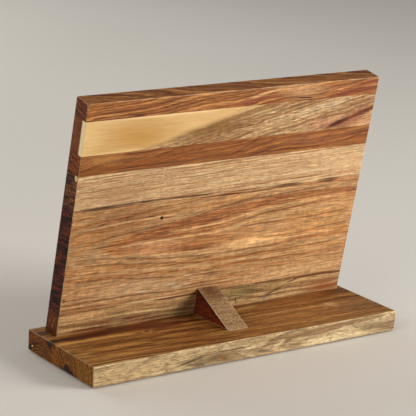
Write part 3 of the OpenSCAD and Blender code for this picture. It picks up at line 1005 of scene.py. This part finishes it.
def clearances(screws):
    """Cutters for the countersunk holes through the base."""
    cutters = []
    for x, y, z, _ in screws:
        sink, hole = HEAD_R + HOLE_GAP, SCREW_R + HOLE_GAP
        cutters.append(cylinder("hole", x, y, BASE_LOW[2] - 1, BASE_TOP + 1, hole, hole, 32))
        cutters.append(cylinder("rim", x, y, BASE_LOW[2] - 1, z + HEAD_RIM, sink, sink, 32))
        cutters.append(cylinder("sink", x, y, z + HEAD_RIM - 0.01, z + HEAD_RIM + sink - hole, sink, hole, 32))
    return cutters


def board(low, high, eased, ease, steps, close, faults):
    """Points and faces of a board. Its eased edges are rounded; the glued ones stay square."""
    lines = [side_lines(low[a], high[a], steps[a], ease, eased[a], close[a]) for a in range(3)]
    points, faces = block(*lines)
    points = round_edges(points, low, high, ease, eased)
    for fault in faults:
        points = fault(points)
    return points, faces


def panel_stave(number, material, close_x=(), close_z=(), faults=(), cutters=()):
    """One stave of the panel. The bottom one is cut level, to stand on the base."""
    node = PANEL_NODES[number]
    low, high = (PANEL_X[0], -BOARD_T, STAVE_Z[number]), (PANEL_X[1], 0.0, STAVE_Z[number + 1])
    eased = ((True, True), (True, True), (False, number == len(PANEL_NODES) - 1))
    points, faces = board(low, high, eased, PANEL_EASE, (6.0, 3.0, 3.0), (close_x, (), close_z), faults)
    if number == 0:
        rise = (points[:, 2] - low[2]) / (high[2] - low[2])
        points[:, 2] += (1 - rise) * points[:, 1] * math.tan(LEAN)
    obj = mesh_object(node.replace("panel_stave", "stave"), place(points, PANEL_TO_WORLD), faces)
    if cutters:
        cut(obj, cutters)
    return finish_piece(obj, node, material)


def base_stave(node, y_low, y_high, material, close_y=(), close_z=(), faults=(), cutters=()):
    """One board of the base."""
    low, high = (BASE_LOW[0], y_low, BASE_LOW[2]), (BASE_HIGH[0], y_high, BASE_TOP)
    front = node == "base_stave_front"
    eased = ((True, True), (front, not front), (True, True))
    points, faces = board(low, high, eased, BASE_EASE, (6.0, 4.0, 3.0), ((), close_y, close_z), faults)
    obj = mesh_object(node.replace("base_stave", "board"), points, faces)
    if cutters:
        cut(obj, cutters)
    return finish_piece(obj, node, material)


def brace():
    """The triangular brace, with all its edges eased."""
    low, high = cad_box("wedge_brace")
    peak_y = PANEL_BACK_Y + (high[2] - low[2]) * math.tan(LEAN)
    outline = [(low[1], low[2]), (high[1], low[2]), (peak_y, high[2])]
    shape = bmesh.new()
    left, right = ([shape.verts.new(Vector((x, y, z)) * MM) for y, z in outline] for x in (low[0], high[0]))
    shape.faces.new(left)
    shape.faces.new(right[::-1])
    for i in range(3):
        j = (i + 1) % 3
        shape.faces.new((left[i], right[i], right[j], left[j]))
    bmesh.ops.bevel(shape, geom=shape.edges[:], offset=BRACE_EASE * MM, segments=4, profile=0.5, affect="EDGES")
    points = np.array([list(v.co) for v in shape.verts]) / MM
    faces = [[v.index for v in f.verts] for f in shape.faces]
    shape.free()
    obj = mesh_object("brace", points, faces)
    cut(obj, pilots(WEDGE_SCREW))
    return finish_piece(obj, "wedge_brace", brace_wood())


# ---------------------------------------------------------------- screws and feet


def lathe(outline, sides):
    """Points and faces of a solid turned round Z from (z, radius), where radius may depend on the angle."""
    angles = np.linspace(0, 2 * math.pi, sides, endpoint=False)
    points = [(0, 0, outline[0][0])]
    for z, radius in outline:
        for a in angles:
            r = radius(a) if callable(radius) else radius
            points.append((r * math.cos(a), r * math.sin(a), z))
    points.append((0, 0, outline[-1][0]))
    last = len(points) - 1
    faces = [(0, 1 + (i + 1) % sides, 1 + i) for i in range(sides)]
    for k in range(len(outline) - 1):
        a, b = 1 + k * sides, 1 + (k + 1) * sides
        faces += [(a + i, a + (i + 1) % sides, b + (i + 1) % sides, b + i) for i in range(sides)]
    faces += [(last, last - sides + i, last - sides + (i + 1) % sides) for i in range(sides)]
    return np.array(points), faces


def screw_outline(length):
    """A countersunk wood screw, head down: a flat head, its cone, a plain neck, a thread and a tip."""
    outline = [(0, HEAD_R - 0.2), (0.12, HEAD_R), (HEAD_RIM, HEAD_R), (HEAD_RIM + HEAD_R - SCREW_R, NECK_R)]
    start, steps = length * 0.4, 6
    outline.append((start - THREAD_PITCH, NECK_R))
    for z in np.arange(start - THREAD_PITCH / 2, length - 0.2, THREAD_PITCH / steps):
        taper = min(1.0, 0.15 + (length - z) / 6)
        grown = min(1.0, (z - start + THREAD_PITCH / 2) / THREAD_PITCH)

        def radius(a, z=z, taper=taper, grown=grown):
            turn = (z / THREAD_PITCH - a / (2 * math.pi)) % 1
            return taper * (ROOT_R + (SCREW_R - ROOT_R) * grown * max(0.0, 1 - 3 * abs(turn - 0.5)))

        outline.append((z, radius))
    outline.append((length, 0.08))
    return outline


def screws(name, node, places, material):
    """One mesh with the screws at these places, each with a cross recess in its head."""
    points, faces, recesses = [], [], []
    for x, y, z, length in places:
        more, quads = lathe(screw_outline(length), 24)
        start = sum(len(p) for p in points)
        points.append(more + np.array([x, y, z]))
        faces += [[i + start for i in q] for q in quads]
        middle = (x, y, z + RECESS_MIDDLE)
        recesses += [bar("recess", middle, RECESS_HALF, RECESS_ANGLE + turn) for turn in (0, 90)]
    obj = mesh_object(name, np.vstack(points), faces)
    cut(obj, recesses)
    return finish_piece(obj, node, material)


def foot(node, material):
    """A rubber pad with a rounded rim and a shallow dimple in its tread."""
    low, high = cad_box(node)
    r, h = (high[0] - low[0]) / 2, high[2] - low[2]
    outline = [
        (0.12, r * 0.3), (0.02, r * 0.42), (0.0, r * 0.5), (0.0, r - 0.7), (0.06, r - 0.4), (0.2, r - 0.18),
        (0.4, r - 0.04), (0.6, r), (h, r),
    ]
    points, faces = lathe(outline, 48)
    middle = np.array([(low[0] + high[0]) / 2, (low[1] + high[1]) / 2, 0])
    obj = mesh_object(node.replace("foot", "pad"), points + middle, faces)
    return finish_piece(obj, node, material)


# ---------------------------------------------------------------- the pieces

END_X = PANEL_X[1]
panel_stave(0, bottom_wood(), cutters=pilots(PANEL_SCREWS))
panel_stave(
    1, wide_wood(), cutters=pilots(PANEL_SCREWS),
    close_x=[(57, 2.0, 0.35)], close_z=[(94.5, 2.0, 0.35)],
    faults=[
        lambda p: dent(p, (57, 0, 94.5), (1.25, 1.1), 1.6, (0, -1, 0)),
        lambda p: dent(p, (52, 0, 94.1), (4.5, 0.6), 0.25, (0, -1, 0)),
        lambda p: chip(p, (END_X, 0, 62), (1, 1, 0), 1.0, 5),
    ],
)
panel_stave(2, tan_wood())
panel_stave(3, brown_wood())
panel_stave(4, sapwood())
panel_stave(
    5, top_wood(),
    close_x=[(-66, 11, 1.0), (END_X - 2, 2, 0.5)], close_z=[(188.3, 1.4, 0.25), (PANEL_H - 2, 2, 0.5)],
    faults=[
        lambda p: dent(p, (-67, 0, 188.3), (10, 0.55), 0.6, (0, -1, 0), angle=8),
        lambda p: chip(p, (END_X, 0, PANEL_H), (1, 0.6, 0.8), 1.9, 6),
    ],
)
base_stave(
    "base_stave_front", BASE_LOW[1], GLUE_Y, base_front_wood(), cutters=clearances(PANEL_SCREWS + WEDGE_SCREW),
    close_y=[(-43.5, 4, 0.4)], close_z=[(5.6, 3, 0.4)],
    faults=[lambda p: dent(p, (BASE_HIGH[0], -43.6, 5.7), (3.2, 1.3), 1.3, (-1, 0, 0), angle=33, plane=(1, 2))],
)
base_stave("base_stave_rear", GLUE_Y, BASE_HIGH[1], base_rear_wood())
brace()
zinc = steel()
screws("panel_screws_turned", "panel_screws", PANEL_SCREWS, zinc)
screws("brace_screw_turned", "wedge_screw", WEDGE_SCREW, zinc)
pad_rubber = rubber()
for side in ("front_left", "front_right", "rear_left", "rear_right"):
    foot("foot_" + side, pad_rubber)

# ---------------------------------------------------------------- floor, light, camera


FLOOR_R, FLOOR_SIDES = 9000, 96
WORLD_COLOUR, WORLD_STRENGTH = (1.0, 0.97, 0.93, 1), 0.22
LAMP_COLOUR, LAMP_TARGET = (1.0, 0.96, 0.9), Vector((0, 0, 0.1))
# azimuth and elevation in degrees, distance and side in metres, watts
LAMPS = {"key": (228, 14, 1.8, 0.95, 40), "fill": (104, 20, 2.2, 1.5, 15.5), "front": (10, 24, 2.2, 1.4, 17)}
VIEW_AZIMUTH, VIEW_ELEVATION, VIEW_ROLL = 143.975, 15.356, 3.113
VIEW_TARGET, VIEW_DISTANCE = Vector((0.01626, 0, 0.11689)), 1.55265
LENS_MM, SENSOR_MM = 165.18, 36


def floor():
    """A wide disc of pale studio paper."""
    graph = Graph("floor_paper")
    at = graph.add("TexCoord").outputs["Object"]
    tooth = graph.noise(at, 900, 2)
    tone = graph.remap(graph.noise(at, 1.5, 2), 0.3, 0.7)
    colour = graph.mix(tone, rgb("#e3e0da"), rgb("#e7e4df"))
    paper = graph.surface(colour, graph.remap(tooth, 0.3, 0.7, 0.8, 0.9), tooth, 0.05)
    around = np.linspace(0, 2 * math.pi, FLOOR_SIDES, endpoint=False)
    points = [(0, 0, 0)] + [(FLOOR_R * math.cos(a), FLOOR_R * math.sin(a), 0) for a in around]
    faces = [(0, 1 + i, 1 + (i + 1) % FLOOR_SIDES) for i in range(FLOOR_SIDES)]
    obj = mesh_object("floor", points, faces)
    obj.data.materials.append(paper)


def outwards(azimuth, elevation):
    """The direction away from the stand. Azimuth 0 is on the -Y side and 90 on the +X side."""
    a, e = math.radians(azimuth), math.radians(elevation)
    return Vector((math.sin(a) * math.cos(e), -math.cos(a) * math.cos(e), math.sin(e)))


def softbox(name, azimuth, elevation, distance, size, power):
    """A square lamp that looks at the stand's middle."""
    lamp = bpy.data.lights.new(name, "AREA")
    lamp.shape, lamp.size, lamp.energy, lamp.color = "SQUARE", size, power, LAMP_COLOUR
    way = outwards(azimuth, elevation)
    obj = add_object(name, lamp)
    obj.location = LAMP_TARGET + way * distance
    obj.rotation_euler = way.to_track_quat("Z", "Y").to_euler()


def studio():
    """Soft, slightly warm light from all sides and three softboxes."""
    world = bpy.data.worlds.new("studio")
    world.use_nodes = True
    background = world.node_tree.nodes["Background"]
    background.inputs["Color"].default_value = WORLD_COLOUR
    background.inputs["Strength"].default_value = WORLD_STRENGTH
    bpy.context.scene.world = world
    for name, place_and_power in LAMPS.items():
        softbox(name, *place_and_power)
    bpy.context.scene.view_settings.view_transform = "Standard"


def camera():
    """The camera: behind the stand, to its +X side, and rolled a little."""
    way = outwards(VIEW_AZIMUTH, VIEW_ELEVATION)
    data = bpy.data.cameras.new("camera")
    data.lens, data.sensor_width, data.clip_end = LENS_MM, SENSOR_MM, 50
    obj = add_object("camera", data)
    obj.location = VIEW_TARGET + way * VIEW_DISTANCE
    level = way.to_track_quat("Z", "Y").to_matrix()
    obj.rotation_euler = (level @ Matrix.Rotation(math.radians(VIEW_ROLL), 3, "Z")).to_euler()
    bpy.context.scene.camera = obj


floor()
studio()
camera()
